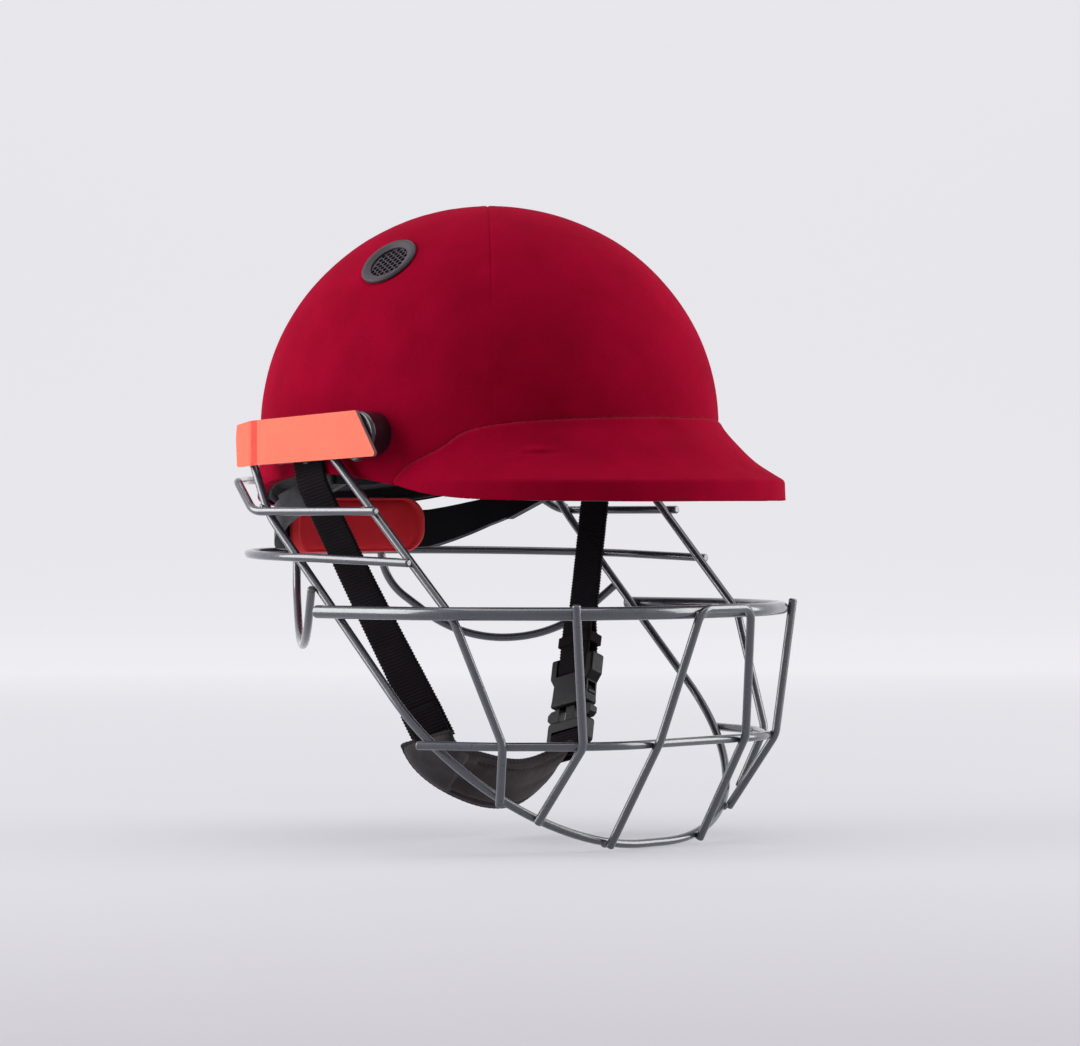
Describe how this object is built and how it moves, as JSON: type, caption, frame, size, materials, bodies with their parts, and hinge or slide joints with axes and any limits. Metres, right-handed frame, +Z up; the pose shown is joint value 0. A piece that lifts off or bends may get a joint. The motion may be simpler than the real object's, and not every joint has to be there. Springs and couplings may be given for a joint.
{
  "type": "cricket helmet",
  "caption": "Cloth-covered helmet with peak, welded wire face guard, sliding nape cradle and buckled chin strap.",
  "frame": {"origin": "middle of the head opening, level with the peak's lower edge", "axes": "+Z up, -Y the way the wearer faces, +X the wearer's left"},
  "size_m": [0.243, 0.3037, 0.3251],
  "materials": {
    "shell_plastic": "moulded shell",
    "cloth": "brushed wool cloth",
    "board": "dark lining cloth",
    "foam": "moulded foam",
    "lining": "lining cloth over soft foam",
    "vent_grey": "moulded",
    "guard_paint": "gloss paint over steel wire",
    "bracket_plastic": "gloss",
    "steel": "zinc-plated",
    "tape": "foam tape",
    "plate": "gloss printed face",
    "cradle_plastic": "gloss",
    "nape_foam": "smooth padded cloth",
    "dial_plastic": "moulded",
    "webbing": "woven nylon",
    "buckle_plastic": "moulded",
    "chin_foam": "padded cloth"
  },
  "bodies": {
    "helmet": {"outer_shell": "shell_plastic", "peak": "shell_plastic", "peak_floor": "board", "peak_cover": "cloth", "rim_trim": "lining", "foam_liner": "foam", "crown_pad": "lining", "brow_pad": "lining", "back_pad": "lining", "guard_frame_wire": "guard_paint", "guard_visor_bar": "guard_paint", "guard_chin_bar": "guard_paint", "guard_upper_rail": "guard_paint", "guard_middle_rail": "guard_paint", "guard_centre_wire": "guard_paint", "crown_cover_left": "cloth", "crown_cover_right": "cloth", "crown_cover_back": "cloth", "crown_cover_front": "cloth", "temple_pad_left": "lining", "vent_ring_left": "vent_grey", "vent_mesh_left": "vent_grey", "guard_strut_left": "guard_paint", "guard_upright_left": "guard_paint", "guard_neck_loop_left": "guard_paint", "side_bracket_left": "bracket_plastic", "bracket_screws_left": "steel", "bracket_nuts_left": "steel", "badge_plate_left": "plate", "badge_tape_left": "tape", "cradle_arm_left": "cradle_plastic", "temple_pad_right": "lining", "vent_ring_right": "vent_grey", "vent_mesh_right": "vent_grey", "guard_strut_right": "guard_paint", "guard_upright_right": "guard_paint", "guard_neck_loop_right": "guard_paint", "side_bracket_right": "bracket_plastic", "bracket_screws_right": "steel", "bracket_nuts_right": "steel", "badge_plate_right": "plate", "badge_tape_right": "tape", "cradle_arm_right": "cradle_plastic"},
    "chin_strap": {"left_webbing": "webbing", "right_webbing": "webbing", "strap_eyelets": "steel", "buckle_plug": "buckle_plastic", "plug_webbing": "webbing", "chin_pad": "chin_foam"},
    "buckle_housing": {"buckle_housing": "buckle_plastic", "webbing_keeper": "webbing"},
    "prong_front": {"buckle_prong_front": "buckle_plastic"},
    "prong_rear": {"buckle_prong_rear": "buckle_plastic"},
    "cradle": {"cradle_band": "cradle_plastic", "nape_pad": "nape_foam", "dial_base": "cradle_plastic"},
    "dial": {"fit_dial": "dial_plastic", "dial_pinion": "dial_plastic"}
  },
  "joints": [
    {"name": "chin_strap_swing", "type": "hinge", "parent": "helmet", "child": "chin_strap", "pos_m": [0, 0.0238, 0.0235], "axis": [1, 0, 0], "range_deg": [-5, 20], "stiffness_Nm_per_rad": 0.4},
    {"name": "buckle_release", "type": "slide", "parent": "chin_strap", "child": "buckle_housing", "axis": [0.3941, 0.2158, 0.8934], "range_m": [0, 0.022], "deforming": ["left_webbing", "buckle_prong_rear", "buckle_prong_front"]},
    {"name": "prong_squeeze_rear", "type": "hinge", "parent": "chin_strap", "child": "prong_rear", "pos_m": [0.05353, -0.00097, -0.11737], "axis": [0.9191, -0.0925, -0.3831], "range_deg": [0, 10.5], "stiffness_Nm_per_rad": 0.02},
    {"name": "prong_squeeze_front", "type": "hinge", "parent": "chin_strap", "child": "prong_front", "pos_m": [0.05353, -0.01847, -0.11314], "axis": [-0.9191, 0.0925, 0.3831], "range_deg": [0, 10.5], "stiffness_Nm_per_rad": 0.02},
    {"name": "cradle_slide", "type": "slide", "parent": "helmet", "child": "cradle", "axis": [0, -0.9285, 0.3714], "range_m": [0, 0.008]},
    {"name": "dial_turn", "type": "hinge", "parent": "cradle", "child": "dial", "pos_m": [0, 0.115, -0.011], "axis": [0, 1, 0], "range_deg": [0, 450]}
  ],
  "couplings": [
    {"joint": "dial_turn", "follows": "cradle_slide", "rad_per_m": 980.77}
  ]
}
